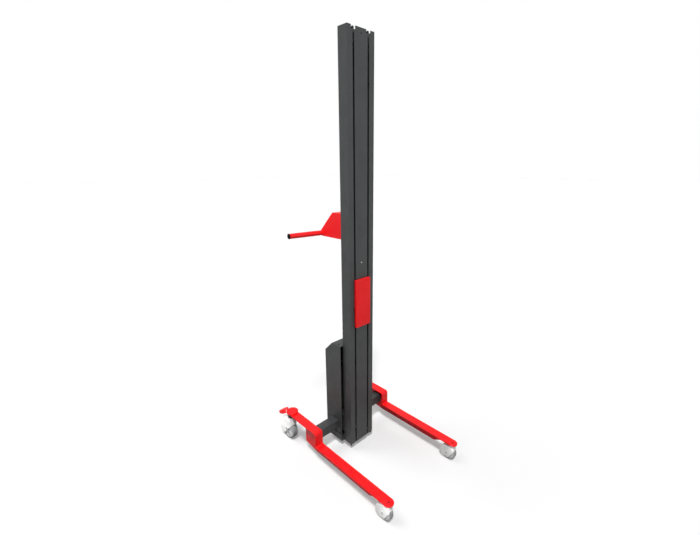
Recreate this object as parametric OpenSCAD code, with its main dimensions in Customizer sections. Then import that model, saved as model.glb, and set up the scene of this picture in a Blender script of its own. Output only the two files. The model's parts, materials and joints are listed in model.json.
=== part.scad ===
// Manual lift trolley: a slotted mast with a belt-driven lifting carriage, a hand
// crank drive in a rear housing, and a wheeled base with two front legs.
// Millimetres, X to the right, Y to the rear, Z up. Heights count from the floor and
// depths from the front face of the mast; on_centre() moves all to the base's middle.

/* [Mast] */
// Outer width of the mast profile
mast_w = 160; // [158:1:176]
// Outer depth of the mast profile
mast_d = 56.4; // [56:0.2:64]
// Length of the mast profile
mast_h = 2000; // [1800:10:2300]
// Height of the mast's lower end above the floor
mast_z = 36; // [30:1:44]
// Wall of the mast profile
mast_wall = 3; // [2.5:0.5:3.5]
// Width of the fixed cover between the two slots
cover_w = 78; // [74:1:80]
// Thickness of the fixed cover
cover_t = 3; // [2:0.5:3]
// Depth to which the cover's two stiffening ribs reach
cover_rib_y = 11; // [8:1:12]
// Distance of those ribs from the cover's side edges
cover_rib_inset = 12; // [10:0.5:13]
// Width of each slot beside the cover
slot_w = 10; // [9:0.5:11]
// Width of the notch at each slot's upper end
notch_w = 8; // [4:1:9]
// Height of the notch at each slot's upper end
notch_h = 14; // [8:1:20]
// Thickness of the foot plate under the mast
foot_t = 4; // [3:1:6]
// Distance that the foot plate stays inside the mast's outline
foot_inset = 4; // [2:1:8]
// Radius of the two stops under the foot plate
foot_stop_r = 4; // [3:0.5:5]
// Height of the two stops under the foot plate
foot_stop_h = 5; // [4:1:10]

/* [Lift belt] */
// Radius of the belt pulleys under the belt
pulley_r = 17; // [16:0.5:17.5]
// Width of the lift belt
belt_w = 25; // [20:1:26]
// Thickness of the lift belt
belt_t = 2.4; // [2:0.1:2.6]
// Depth of the grooves in the pulleys
tooth_depth = 2; // [1.5:0.1:2.2]
// Number of grooves round a pulley
pulley_teeth = 16; // [12:1:18]
// Radius of the pulley shafts
shaft_r = 6; // [5:0.5:7]
// Distance from the mast's top down to the upper pulley's axis
top_pulley_drop = 52; // [50:1:60]
// Height of the lower pulley's axis above the mast's lower end
low_pulley_rise = 70; // [60:1:78]
// Radius of the idlers
idler_r = 10; // [9:0.5:11]
// Radius of the idlers' axles
idler_axle_r = 4; // [3:0.5:5]
// Thickness of the bearing cheeks beside the pulleys
bearing_t = 4; // [3:0.5:5]

/* [Carriage] */
// Width of the tool plate
plate_w = 97.2; // [94:0.2:110]
// Height of the tool plate
plate_h = 246; // [230:1:300]
// Thickness of the tool plate
plate_t = 11.4; // [8:0.2:14]
// Gap between the tool plate and the mast's front face
plate_gap = 1; // [0.8:0.1:2]
// Height of the tool plate's lower edge at rest
plate_z = 711; // [690:1:730]
// Radius of the corners of the tool plate
plate_corner = 5; // [2:0.5:12]
// Thickness of the carriage body's side cheeks
cheek_t = 6; // [5:0.5:7]
// Thickness of the carriage body's rear plate
carriage_back_t = 8; // [6:0.5:9]
// Height that the carriage body stays inside the tool plate at each end
carriage_inset = 5; // [3:1:10]
// Side gap of the carriage arms in the slots
arm_gap = 1; // [0.8:0.1:1.5]
// Height of each carriage arm
arm_h = 70; // [50:1:90]
// Width of the guide rollers
roller_w = 14; // [11:0.5:15]
// Distance of the roller axles from the carriage's middle
roller_pitch = 85; // [75:1:88]
// Radius of the roller axles
roller_axle_r = 5; // [4:0.5:7]
// Height of the side glide pads
pad_h = 50; // [30:1:60]

/* [Crank drive] */
// Distance from the housing's top down to the crank shaft's axis
crank_drop = 136; // [120:1:160]
// Depth of the crank shaft's axis behind the mast's front face
crank_y = 120; // [112:1:128]
// Radius of the crank shaft
crank_shaft_r = 7; // [6:0.5:8]
// Length of the crank arm from shaft to grip
crank_l = 165; // [140:1:180]
// Thickness of the crank arm
crank_t = 6; // [5:0.5:8]
// Angle of the crank arm below the horizontal at rest
crank_angle = 35; // [0:5:80]
// Radius of the crank grip
grip_r = 13; // [11:0.5:16]
// Length of the crank grip
grip_l = 84; // [70:1:95]
// Radius of the grip's pin
grip_pin_r = 5; // [4:0.5:6]
// Radius over the ratchet wheel's teeth
ratchet_r = 24; // [20:0.5:26]
// Number of ratchet teeth
ratchet_teeth = 12; // [8:1:16]
// Thickness of the ratchet wheel and pawl
ratchet_t = 6; // [4:0.5:8]

/* [Rear housing] */
// Outer width of the housing
housing_w = 194; // [190:1:210]
// Depth of the housing's rear face behind the mast's front face
housing_rear_y = 177.6; // [174:0.2:200]
// Height of the housing's top above the mast's lower end
housing_h = 566; // [530:1:640]
// Size of the chamfer between the housing's top and rear face
housing_chamfer = 55; // [30:1:70]
// Sheet thickness of the housing
housing_t = 2; // [1.5:0.5:3]
// Height of the housing's front flanges
housing_flange = 20; // [14:1:24]

/* [Base] */
// Distance from the trolley's middle to the middle of each leg
leg_x = 250.5; // [240:0.5:300]
// Width of a leg's flat bar
bar_w = 47; // [44:1:56]
// Thickness of a leg's flat bar
bar_t = 6; // [5:0.5:8]
// Height of the top of the leg's low front part
low_top = 102.4; // [102:0.2:108]
// Height of the top of the leg's high rear part
high_top = 177.3; // [176:0.1:186]
// Depth of the front face of the leg's upright step
step_y = 57; // [50:1:62]
// Distance of the leg's front tip ahead of the mast
leg_reach = 439; // [400:1:520]
// Inner radius of the bend at the foot of the step
low_bend_r = 6; // [4:0.5:12]
// Inner radius of the bend at the top of the step
high_bend_r = 8; // [5:0.5:10]
// Thickness of the upright web under the bar
web_t = 6; // [5:0.5:8]
// Height of the web's lower edge
web_z = 55; // [50:1:60]
// Depth of the web's rear edge
web_rear_y = 168; // [160:1:169]
// Depth at which the web's lower edge starts to rise to the rear
web_knee_y = 81; // [72:1:90]
// Rise of the web's lower edge at its rear corner
web_rear_rise = 14; // [8:1:20]
// Distance from the leg's tip to the start of the web's front slope
web_front_back = 136; // [125:1:150]
// Angle of the web's front slope
web_front_angle = 30; // [26:1:40]
// Side of the square cross tube
tube_s = 50; // [46:1:52]
// Wall of the cross tube
tube_wall = 3; // [2:0.5:4]
// Depth of the cross tube's axis
tube_y = 110; // [106:1:114]
// Height of the cross tube's axis
tube_z = 131; // [126:1:134]
// Width of the collar plates behind the cross tube
collar_rim = 13; // [10:1:14]
// Width of the collar plates in front of the cross tube
collar_front = 17; // [14:1:18]
// Width of the collar plates below the cross tube
collar_drop = 24; // [20:1:28]
// Gap in the housing in front of and below the collar plates
collar_gap = 6; // [4:1:7]
// Thickness of the collar plates
collar_t = 7; // [4:0.5:8]
// Thickness of the plate that bolts the cross tube's bracket to the mast
bracket_t = 6; // [5:0.5:7]

/* [Front casters] */
// Diameter of the front wheels
front_wheel_d = 80; // [75:1:82]
// Width of the front wheels
front_wheel_w = 26; // [22:1:28]
// Trail of the front casters
front_trail = 20; // [18:1:22]
// Angle of the front hoods' lower edge
front_edge_angle = 60; // [50:1:64]
// Distance of the front hoods' lower edge ahead of the axle
front_edge_drop = 20; // [14:1:22]
// Angle above the horizontal at which the front hoods' crown starts
front_crown_angle = 38; // [34:1:60]

/* [Rear casters] */
// Diameter of the rear wheels
rear_wheel_d = 125; // [115:1:126]
// Width of the rear wheels
rear_wheel_w = 30; // [26:1:32]
// Trail of the rear casters
rear_trail = 38; // [36:1:44]
// Depth of the rear casters' swivel axes
rear_stem_y = 292; // [290:1:300]
// Angle of the rear hoods' lower edge
rear_edge_angle = 48; // [44:1:60]
// Distance of the rear hoods' lower edge ahead of the axle
rear_edge_drop = 10; // [9:1:20]
// Angle above the horizontal at which the rear hoods' crown starts
rear_crown_angle = 58; // [44:1:64]
// Radius of the red caps on the rear ends of the legs
cap_r = 32; // [28:1:34]
// Height of the red caps
cap_h = 9; // [8:0.5:14]
// Distance of a brake pedal's tip from its caster's swivel axis
pedal_reach = 106; // [105:1:112]
// Width of a brake pedal's tread
pedal_w = 42; // [30:1:46]
// Depth of a brake pedal's tread
pedal_tread = 26; // [20:1:30]
// Height of the lip along the rear of a brake pedal
pedal_lip = 13; // [8:1:16]
// Slope of a brake pedal at rest
pedal_slope = 25; // [20:1:27]

/* [Handle] */
// Height of the handlebar's axis
handle_z = 1168; // [1140:1:1200]
// Depth of the handlebar's axis
handle_y = 195; // [180:1:230]
// Outer radius of the handlebar
handle_r = 12.5; // [11:0.5:15]
// Wall of the handlebar
handle_wall = 2; // [1.5:0.5:3]
// Length of each swept grip of the handlebar, with its end cap
handle_grip_l = 175; // [140:1:180]
// Angle that the grips sweep to the rear
handle_sweep = 10; // [0:1:20]
// Sheet thickness of the handle bracket
handle_bracket_t = 4; // [3:0.5:5]
// Height of the handle bracket
handle_bracket_h = 121; // [110:1:140]
// Depth of the handle bracket's top
handle_top_d = 60; // [45:1:75]

/* [Fits and fasteners] */
// Clearance between pieces that move past each other
clear = 0.3; // [0.25:0.05:0.4]
// Radial clearance of a shaft in its bore
fit = 0.05; // [0.03:0.01:0.08]
// Radius of the large bolts' shanks
bolt_r = 4; // [3:0.5:4.5]
// Radius of the small screws' shanks
screw_r = 2.5; // [2:0.5:3]

/* [Hidden] */
$fn = 48;

dark = [0.26, 0.27, 0.27];
black = [0.08, 0.08, 0.08];
red = [0.86, 0.10, 0.12];
white = [0.95, 0.95, 0.94];
wheel_grey = [0.82, 0.82, 0.82];
tread_grey = [0.42, 0.42, 0.43];
steel = [0.62, 0.63, 0.65];

// Mast
mast_top = mast_z + mast_h;
wall_in = mast_w / 2 - mast_wall;
mid_y = mast_d / 2;
rear_in = mast_d - mast_wall;
slot_in = cover_w / 2;
slot_out = slot_in + slot_w;

// Belt loop: the belt lies belt_seat above each pulley's grooves
belt_seat = 0.3;
belt_in = pulley_r + belt_seat;
belt_out = belt_in + belt_t;
flange_t = 1.5;
flange_rise = 1.3;
pulley_half = belt_w / 2 + 0.5;
pulley_side = pulley_half + flange_t;
cheek_in = pulley_side + 4;
cheek_out = cheek_in + bearing_t;
shaft_half = cheek_out + 4;
top_pulley_z = mast_top - top_pulley_drop;
low_pulley_z = mast_z + low_pulley_rise;
idler_in = idler_r + belt_seat;
idler_out = idler_in + belt_t;
idler_y = mid_y + belt_out + idler_in;
idler_dz = belt_in + idler_out;

// Carriage
plate_top = plate_z + plate_h;
carriage_z0 = plate_z + carriage_inset;
carriage_z1 = plate_top - carriage_inset;
carriage_mid = (plate_z + plate_top) / 2;
arm_in = slot_in + arm_gap;
arm_out = slot_out - arm_gap;
side_out = arm_out + cheek_t;
carriage_back_y = 33;
roller_r = (rear_in - mast_wall) / 2 - clear;
roller_x = side_out + 2.5;
roller_end = roller_x + roller_w;

// Crank drive
crank_z = mast_z + housing_h - crank_drop;
window_half = cheek_out + 1;
window_rise = idler_dz + idler_r + 5;
ratchet_x = cheek_out + 18;
outrigger_x = ratchet_x + ratchet_t + 26;
winch_half_h = idler_dz + 3 * idler_axle_r;
winch_foot = 3 * bearing_t;
winch_rear_y = crank_y + 3 * crank_shaft_r + 1;
crank_x = housing_w / 2 + 7;
pawl_pin_r = 3;
pawl_y = crank_y - 34;
pawl_z = crank_z + 32;

// Base
bar_front_y = -leg_reach;
tip_y = bar_front_y + bar_w / 2;
low_under = low_top - bar_t;
high_under = high_top - bar_t;
bar_rear_y = rear_stem_y + bar_w / 2;
web_front_y = bar_front_y + web_front_back;
tube_half = leg_x - web_t / 2;
collar_y0 = tube_y - tube_s / 2 - collar_front;
collar_y1 = tube_y + tube_s / 2 + collar_rim;
collar_z0 = tube_z - tube_s / 2 - collar_drop;
rear_tip_y = rear_stem_y + pedal_reach;
centre_y = (bar_front_y + rear_tip_y) / 2;

// Casters
wheel_gap = 1.2;
core_share = 0.84;
hood_wall = 2.6;
hood_side = 3;
hood_edge_r = 7;
swivel_cap_front = 5;
swivel_cap_rear = 19;
front_stem_r = 6;
rear_stem_r = 8;
front_axle_r = 4;
rear_axle_r = 5;
axle_head_t = 2;
pedal_pivot_y = 40;
pedal_pivot_z = high_under - 9.3;
pedal_pin_r = 3;
pedal_boss_r = 6;
pedal_half = 7;
ear_t = 3.5;

// Handle
handle_boss = 3;
handle_low_z = handle_z - handle_r - handle_boss;
handle_half = mast_w / 2;
handle_bend_x = handle_half + 6;
handle_cap_t = 6;
handle_plug_l = 18;

// Fasteners
bolt_head_r = bolt_r * 1.8;
bolt_head_t = bolt_r * 1.35;
screw_head_r = screw_r * 1.8;
screw_head_t = 2;
hole_play = 0.2;

// Block between two X, two Y and two Z planes
module block(x, y, z) {
    translate([x[0], y[0], z[0]]) cube([x[1] - x[0], y[1] - y[0], z[1] - z[0]]);
}

// Round bar along X between two X planes
module rod_x(r, x) {
    translate([x[0], 0, 0]) rotate([0, 90, 0]) cylinder(r = r, h = x[1] - x[0]);
}

// Outline drawn in Y and Z, made solid between two X planes
module slab_x(x) {
    translate([x[0], 0, 0]) rotate([90, 0, 90]) linear_extrude(x[1] - x[0]) children();
}

// Round bar along Y between two Y planes
module rod_y(r, y) {
    translate([0, y[1], 0]) rotate([90, 0, 0]) cylinder(r = r, h = y[1] - y[0]);
}

module both_sides() {
    children();
    mirror([1, 0, 0]) children();
}

// Part of a flat ring: half for sweep 180, a quarter for sweep 90
module ring_part(r_in, r_out, turn, sweep) {
    rotate(turn) intersection() {
        difference() {
            circle(r = r_out);
            circle(r = r_in);
        }
        translate([sweep > 90 ? -r_out : 0, 0]) square([sweep > 90 ? 2 * r_out : r_out, r_out]);
    }
}

module on_centre() {
    translate([0, -centre_y, 0]) children();
}

// Mast

module mast_profile() {
    bracket_bolt_places = bracket_bolts();
    handle_bolt_places = handle_bolts();
    color(dark) difference() {
        block([-mast_w / 2, mast_w / 2], [0, mast_d], [mast_z, mast_top]);
        block([-wall_in, wall_in], [mast_wall, rear_in], [mast_z - 1, mast_top + 1]);
        block([-slot_out, slot_out], [-1, mast_wall + 1], [mast_z - 1, mast_top + 1]);
        block([-slot_out - notch_w, slot_out + notch_w], [-1, mast_wall + 1], [mast_top - notch_h, mast_top + 1]);
        block([-window_half, window_half], [rear_in - 1, mast_d + 1],
            [crank_z - window_rise, crank_z + window_rise]);
        for (p = concat(bracket_bolt_places, handle_bolt_places))
            translate([p[0], 0, p[1]]) rod_y(bolt_r + hole_play, [rear_in - 1, mast_d + 1]);
    }
}

// Height of the three flush screws in the cover
function cover_screws() = [mast_z + 18, (mast_z + mast_top) / 2 + 1, mast_top - 21];

module front_cover() {
    rib_out = slot_in - cover_rib_inset;
    color(dark) difference() {
        union() {
            block([-slot_in, slot_in], [0, cover_t], [mast_z, mast_top]);
            both_sides() block([rib_out - cover_t, rib_out], [0, cover_rib_y], [mast_z, tie_z - cover_t]);
        }
        both_sides() block([slot_in - notch_w, slot_in + 1], [-1, cover_t + 1], [mast_top - notch_h, mast_top + 1]);
        for (z = cover_screws())
            translate([0, 0, z]) rod_y(screw_r + 1 + fit, [-1, cover_t + 1]);
    }
}

module foot_plate() {
    half = mast_w / 2 - foot_inset;
    color(dark) {
        block([-half, half], [foot_inset, mast_d - foot_inset], [mast_z - foot_t, mast_z]);
        block([-belt_w / 2, belt_w / 2], [cover_t, cover_t + 5], [mast_z, mast_z + 28]);
        both_sides() translate([half - foot_stop_r / 2, foot_inset + foot_stop_r / 2, mast_z - foot_t - foot_stop_h])
            cylinder(r = foot_stop_r, h = foot_stop_h);
    }
}

// Upper bearing bracket with side plates along the mast's walls and a tie bar
side_plate_t = 3;
side_plate_h = 208;
back_plate_h = 70;
side_plate_y = 21.5;
side_screw_y = 27;
tie_z = mast_top - 28;

// Heights of the screws that hold the side plates
function bracket_screws() = [for (share = [0.05, 0.24, 0.4, 0.95]) mast_top - side_plate_h * share];

module top_bracket() {
    cheek_h = 22;
    color(dark) difference() {
        union() {
            both_sides() {
                block([wall_in - side_plate_t, wall_in], [side_plate_y, rear_in], [mast_top - side_plate_h, mast_top - 2]);
                block([cheek_in, cheek_out], [8, rear_in], [top_pulley_z - cheek_h, tie_z + 14]);
                block([arm_in + 1, arm_out - 1], [0.5, 8], [tie_z, tie_z + 18]);
            }
            block([-wall_in, wall_in], [rear_in - side_plate_t, rear_in], [mast_top - 2 - back_plate_h, mast_top - 2]);
            block([-arm_out, arm_out], [8, 16], [tie_z, tie_z + 14]);
            block([-belt_w / 2, belt_w / 2], [cover_t, 8], [tie_z, tie_z + 14]);
        }
        translate([0, mid_y, top_pulley_z]) rod_x(shaft_r + fit, [-cheek_out - 1, cheek_out + 1]);
        for (z = bracket_screws())
            translate([0, side_screw_y, z]) rod_x(screw_r + hole_play, [-wall_in - 1, wall_in + 1]);
    }
}

module lower_bearings() {
    color(dark) difference() {
        both_sides() block([cheek_in, cheek_out], [mid_y - 18, mid_y + 18], [mast_z, low_pulley_z + 18]);
        translate([0, mid_y, low_pulley_z]) rod_x(shaft_r + fit, [-cheek_out - 1, cheek_out + 1]);
    }
}

module panel_screw() {
    cylinder(r = screw_r, h = 3);
    translate([0, 0, 3]) cylinder(r1 = screw_head_r, r2 = screw_head_r - 0.8, h = screw_head_t);
}

// Distance of the screws in the housing's top from its side and from its front edge
housing_screw_x = housing_w / 2 - 14;
housing_screw_y = mast_d + 27;

module panel_screws() {
    color(steel) {
        for (z = cover_screws())
            translate([0, 0, z]) rod_y(screw_r + 1, [0, cover_t]);
        both_sides() {
            for (z = bracket_screws())
                translate([wall_in, side_screw_y, z]) rotate([0, -90, 0]) panel_screw();
            translate([housing_screw_x, housing_screw_y, mast_z + housing_h - 3]) panel_screw();
        }
    }
}

// Lift belt

// One closed loop: two long runs, with the rear run led round the drive pulley
module lift_belt() {
    front = [mid_y - belt_out, mid_y - belt_in];
    rear = [mid_y + belt_in, mid_y + belt_out];
    color(black) slab_x([-belt_w / 2, belt_w / 2]) {
        translate([front[0], low_pulley_z]) square([belt_t, top_pulley_z - low_pulley_z]);
        translate([rear[0], crank_z + idler_dz]) square([belt_t, top_pulley_z - crank_z - idler_dz]);
        translate([rear[0], low_pulley_z]) square([belt_t, crank_z - idler_dz - low_pulley_z]);
        translate([mid_y, top_pulley_z]) ring_part(belt_in, belt_out, 0, 180);
        translate([mid_y, low_pulley_z]) ring_part(belt_in, belt_out, 180, 180);
        translate([idler_y, crank_z + idler_dz]) ring_part(idler_in, idler_out, 180, 90);
        translate([idler_y, crank_z - idler_dz]) ring_part(idler_in, idler_out, 90, 90);
        translate([idler_y, crank_z + belt_in]) square([crank_y - idler_y, belt_t]);
        translate([idler_y, crank_z - belt_out]) square([crank_y - idler_y, belt_t]);
        translate([crank_y, crank_z]) ring_part(belt_in, belt_out, -90, 180);
    }
}

// Grooved belt pulley with a flange at each side and a bore
module grooved_pulley(bore_r) {
    difference() {
        union() {
            slab_x([-pulley_half, pulley_half]) difference() {
                circle(r = pulley_r);
                for (i = [0:pulley_teeth - 1])
                    rotate(i * 360 / pulley_teeth) translate([pulley_r, 0]) circle(r = tooth_depth, $fn = 24);
            }
            both_sides() rod_x(belt_out + flange_rise, [pulley_half, pulley_side]);
        }
        rod_x(bore_r + fit, [-pulley_side - 1, pulley_side + 1]);
    }
}

module top_pulley() {
    color(steel) translate([0, mid_y, top_pulley_z]) grooved_pulley(shaft_r);
}

module lower_pulley() {
    color(steel) translate([0, mid_y, low_pulley_z]) grooved_pulley(shaft_r);
}

module pulley_shaft() {
    rod_x(shaft_r, [-shaft_half, shaft_half]);
    both_sides() rod_x(shaft_r + 2, [cheek_out + clear, shaft_half]);
}

module top_shaft() {
    color(steel) translate([0, mid_y, top_pulley_z]) pulley_shaft();
}

module lower_shaft() {
    color(steel) translate([0, mid_y, low_pulley_z]) pulley_shaft();
}

module idler() {
    color(steel) {
        rod_x(idler_r, [-pulley_half, pulley_half]);
        rod_x(idler_axle_r, [-cheek_out, cheek_out]);
    }
}

module upper_idler() {
    translate([0, idler_y, crank_z + idler_dz]) idler();
}

module lower_idler() {
    translate([0, idler_y, crank_z - idler_dz]) idler();
}

// Carriage

module inner_carriage() {
    color(dark) difference() {
        union() {
            block([-side_out, side_out], [carriage_back_y, carriage_back_y + carriage_back_t], [carriage_z0, carriage_z1]);
            both_sides() block([arm_out, side_out], [12, carriage_back_y], [carriage_z0, carriage_z1]);
        }
        for (dz = [-roller_pitch, roller_pitch])
            translate([0, mid_y, carriage_mid + dz])
                rod_x(roller_axle_r + fit, [-side_out - 1, side_out + 1]);
        for (p = carriage_screw_places())
            translate([p[0], 0, p[1]])
                rod_y(screw_r + hole_play, [carriage_back_y - 1, carriage_back_y + carriage_back_t + 1]);
        block([-20, 20], [carriage_back_y - 1, carriage_back_y + carriage_back_t + 1],
            [carriage_z0 + 30, carriage_mid - 55]);
        block([-20, 20], [carriage_back_y - 1, carriage_back_y + carriage_back_t + 1],
            [carriage_mid + 55, carriage_z1 - 30]);
    }
}

// Lowest and highest arm
function arm_bottoms() = [carriage_z0, carriage_z1 - arm_h];

function carriage_screw_places() = [
    for (x = [-1, 1], z = arm_bottoms(), share = [0.25, 0.75])
        [x * (arm_in + arm_out) / 2, z + share * arm_h]
];

module carriage_arms() {
    color(dark) difference() {
        both_sides() for (z = arm_bottoms())
            block([arm_in, arm_out], [-plate_gap, carriage_back_y], [z, z + arm_h]);
        for (dz = [-roller_pitch, roller_pitch])
            translate([0, mid_y, carriage_mid + dz])
                rod_x(roller_axle_r + hole_play, [-side_out - 1, side_out + 1]);
    }
}

module carriage_plate() {
    corner_x = plate_w / 2 - plate_corner;
    color(red) translate([0, -plate_gap, 0]) rotate([90, 0, 0]) linear_extrude(plate_t) {
        translate([-plate_w / 2, plate_z + plate_corner]) square([plate_w, plate_h - 2 * plate_corner]);
        translate([-corner_x, plate_z]) square([2 * corner_x, plate_h]);
        for (x = [-corner_x, corner_x], z = [plate_z + plate_corner, plate_top - plate_corner])
            translate([x, z]) circle(r = plate_corner);
    }
}

module carriage_screws() {
    back = carriage_back_y + carriage_back_t;
    color(steel) for (p = carriage_screw_places()) translate([p[0], 0, p[1]]) {
        rod_y(screw_r, [carriage_back_y, back]);
        rod_y(screw_head_r, [back, back + screw_head_t]);
    }
}

// Block behind the belt's front run and a strap in front of it, joined beside the belt
module belt_clamp() {
    strap_t = 3;
    front = mid_y - belt_out - clear;
    back = mid_y - belt_in + clear;
    half_w = belt_w / 2 + 8;
    color(steel) difference() {
        block([-half_w, half_w], [front - strap_t, carriage_back_y], [carriage_mid - 35, carriage_mid + 35]);
        block([-belt_w / 2 - clear, belt_w / 2 + clear], [front, back], [carriage_mid - 36, carriage_mid + 36]);
    }
}

module roller_axles() {
    color(steel) both_sides() for (dz = [-roller_pitch, roller_pitch])
        translate([0, mid_y, carriage_mid + dz]) {
            rod_x(roller_axle_r, [arm_in, roller_end + 0.5]);
            rod_x(roller_axle_r + 2, [side_out, roller_x - clear]);
        }
}

module glide_pads() {
    color(white) both_sides()
        block([side_out, wall_in - clear], [10, 20], [carriage_mid - pad_h / 2, carriage_mid + pad_h / 2]);
}

// Guide roller with a groove on each face
module guide_roller() {
    translate([roller_x, 0, 0]) difference() {
        rod_x(roller_r, [0, roller_w]);
        rod_x(roller_axle_r + fit, [-1, roller_w + 1]);
        for (x = [[-1, 2], [roller_w - 2, roller_w + 1]]) difference() {
            rod_x(roller_r - 5, x);
            rod_x(roller_axle_r + 5, [x[0] - 1, x[1] + 1]);
        }
    }
}

module upper_rollers() {
    color(black) translate([0, mid_y, carriage_mid + roller_pitch]) both_sides() guide_roller();
}

module lower_rollers() {
    color(black) translate([0, mid_y, carriage_mid - roller_pitch]) both_sides() guide_roller();
}

// Crank drive

module at_crank() {
    translate([0, crank_y, crank_z]) children();
}

module winch_frame() {
    inside = rear_in - 2;
    color(dark) difference() {
        union() {
            block([-ratchet_x, outrigger_x + bearing_t], [mast_d, mast_d + bearing_t],
                [crank_z - winch_half_h - winch_foot, crank_z + winch_half_h + winch_foot]);
            both_sides() block([cheek_in, cheek_out], [inside, winch_rear_y], [crank_z - winch_half_h, crank_z + winch_half_h]);
            block([outrigger_x, outrigger_x + bearing_t], [mast_d, winch_rear_y],
                [crank_z - winch_half_h, crank_z + winch_half_h]);
            translate([0, pawl_y, pawl_z]) rod_x(pawl_pin_r, [ratchet_x - 3, outrigger_x + 1]);
        }
        block([-cheek_in, cheek_in], [mast_d - 1, mast_d + bearing_t + 1],
            [crank_z - window_rise, crank_z + window_rise]);
        at_crank() rod_x(crank_shaft_r + fit, [-outrigger_x - 9, outrigger_x + 9]);
        for (dz = [-idler_dz, idler_dz])
            translate([0, idler_y, crank_z + dz]) rod_x(idler_axle_r + fit, [-cheek_out - 1, cheek_out + 1]);
    }
}

module crank_shaft() {
    color(steel) at_crank() {
        rod_x(crank_shaft_r, [-cheek_out - 5, crank_x + crank_t]);
        rod_x(crank_shaft_r + 4, [-cheek_out - 5, -cheek_out - clear]);
        rod_x(crank_shaft_r + 4, [crank_x - 4, crank_x]);
        translate([crank_x + crank_t, 0, 0]) rotate([0, 90, 0]) cylinder(r = crank_shaft_r + 3, h = 6, $fn = 6);
    }
}

module drive_pulley() {
    color(steel) at_crank() grooved_pulley(crank_shaft_r);
}

module ratchet_wheel() {
    span = [ratchet_x, ratchet_x + ratchet_t];
    root_r = ratchet_r - 4;
    color(steel) at_crank() difference() {
        union() {
            rod_x(root_r, span);
            for (i = [0:ratchet_teeth - 1]) rotate([i * 360 / ratchet_teeth, 0, 0])
                slab_x(span) polygon([[root_r - 2, -4], [root_r - 2, 3], [ratchet_r, 3]]);
        }
        rod_x(crank_shaft_r + fit, [ratchet_x - 1, ratchet_x + ratchet_t + 1]);
    }
}

// Pawl that points at the ratchet wheel and ends just clear of its teeth
module ratchet_pawl() {
    span = [ratchet_x, ratchet_x + ratchet_t];
    reach = norm([crank_y - pawl_y, crank_z - pawl_z]) - norm([ratchet_r, 3]) - clear;
    aim = atan2(crank_z - pawl_z, crank_y - pawl_y);
    boss_r = pawl_pin_r + 3;
    color(steel) translate([0, pawl_y, pawl_z]) difference() {
        union() {
            rod_x(boss_r, span);
            rotate([aim, 0, 0]) slab_x(span)
                polygon([[0, boss_r - 1.5], [reach, 1], [reach, -1], [0, 1.5 - boss_r]]);
        }
        rod_x(pawl_pin_r + fit, [ratchet_x - 1, ratchet_x + ratchet_t + 1]);
    }
}

// Arm and grip pin, drawn along +Y and turned to the crank's rest angle
module crank_arm() {
    span = [crank_x, crank_x + crank_t];
    color(dark) at_crank() rotate([-crank_angle, 0, 0]) {
        difference() {
            union() {
                rod_x(14, span);
                translate([0, crank_l, 0]) rod_x(11, span);
                slab_x(span) polygon([[0, 12], [crank_l, 9], [crank_l, -9], [0, -12]]);
            }
            rod_x(crank_shaft_r + fit, [crank_x - 1, crank_x + crank_t + 1]);
        }
        translate([0, crank_l, 0]) {
            rod_x(grip_pin_r, [crank_x, crank_x + crank_t + grip_l + 3]);
            rod_x(grip_pin_r + 3, [crank_x + crank_t + grip_l + 1, crank_x + crank_t + grip_l + 4]);
        }
    }
}

module crank_grip() {
    edge = 4;
    color(black) at_crank() rotate([-crank_angle, 0, 0])
        translate([crank_x + crank_t + 0.5, crank_l, 0]) rotate([0, 90, 0]) rotate_extrude() difference() {
            union() {
                square([grip_r - edge, grip_l]);
                translate([0, edge]) square([grip_r, grip_l - 2 * edge]);
                for (z = [edge, grip_l - edge]) translate([grip_r - edge, z]) circle(r = edge);
            }
            translate([-edge - 1, -1]) square([grip_pin_r + fit + edge + 1, grip_l + 2]);
        }
}

// Rear housing

function housing_outline(inset) =
    let (k = inset * (sqrt(2) - 1), z1 = mast_z + housing_h)
    [
        [mast_d + inset, mast_z + inset],
        [housing_rear_y - inset, mast_z + inset],
        [housing_rear_y - inset, z1 - housing_chamfer - k],
        [housing_rear_y - housing_chamfer - k, z1 - inset],
        [mast_d + inset, z1 - inset]
    ];

module drive_housing() {
    half = housing_w / 2;
    flange_half = mast_w / 2 - 5;
    z1 = mast_z + housing_h;
    color(dark) difference() {
        union() {
            difference() {
                slab_x([-half, half]) polygon(housing_outline(0));
                slab_x([-half + housing_t, half - housing_t]) polygon(housing_outline(housing_t));
                block([-half + housing_t, half - housing_t], [mast_d - 1, mast_d + housing_t + 1],
                    [mast_z + housing_t, z1 - housing_t]);
            }
            for (z = [mast_z, z1 - housing_flange])
                block([-flange_half, flange_half], [mast_d, mast_d + housing_t], [z, z + housing_flange]);
        }
        block([-half - 1, half + 1], [collar_y0 - collar_gap, collar_y1 + collar_gap / 3],
            [collar_z0 - collar_gap, tube_z + tube_s / 2 + 1]);
        at_crank() rod_x(crank_shaft_r + 2, [0, half + 1]);
        both_sides() translate([housing_screw_x, housing_screw_y, z1 - 4]) cylinder(r = screw_r + hole_play, h = 5);
    }
}

// Square opening for the cross tube
module tube_space(x, play) {
    reach = tube_s / 2 + play;
    block(x, [tube_y - reach, tube_y + reach], [tube_z - reach, tube_z + reach]);
}

// Plates in the housing's side openings, welded round the cross tube from below
module tube_collars() {
    half = housing_w / 2;
    reach = tube_s / 2;
    color(dark) both_sides() difference() {
        block([half - collar_t, half], [collar_y0, collar_y1], [collar_z0, tube_z + reach]);
        block([half - collar_t - 1, half + 1], [tube_y - reach, tube_y + reach], [tube_z - reach, tube_z + reach + 1]);
    }
}

// Base

// Places, in X and Z, of the bolts between the tube's bracket and the mast
function bracket_bolts() = [for (x = [-45, 45], z = [-42, 42]) [x, tube_z + z]];

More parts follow.
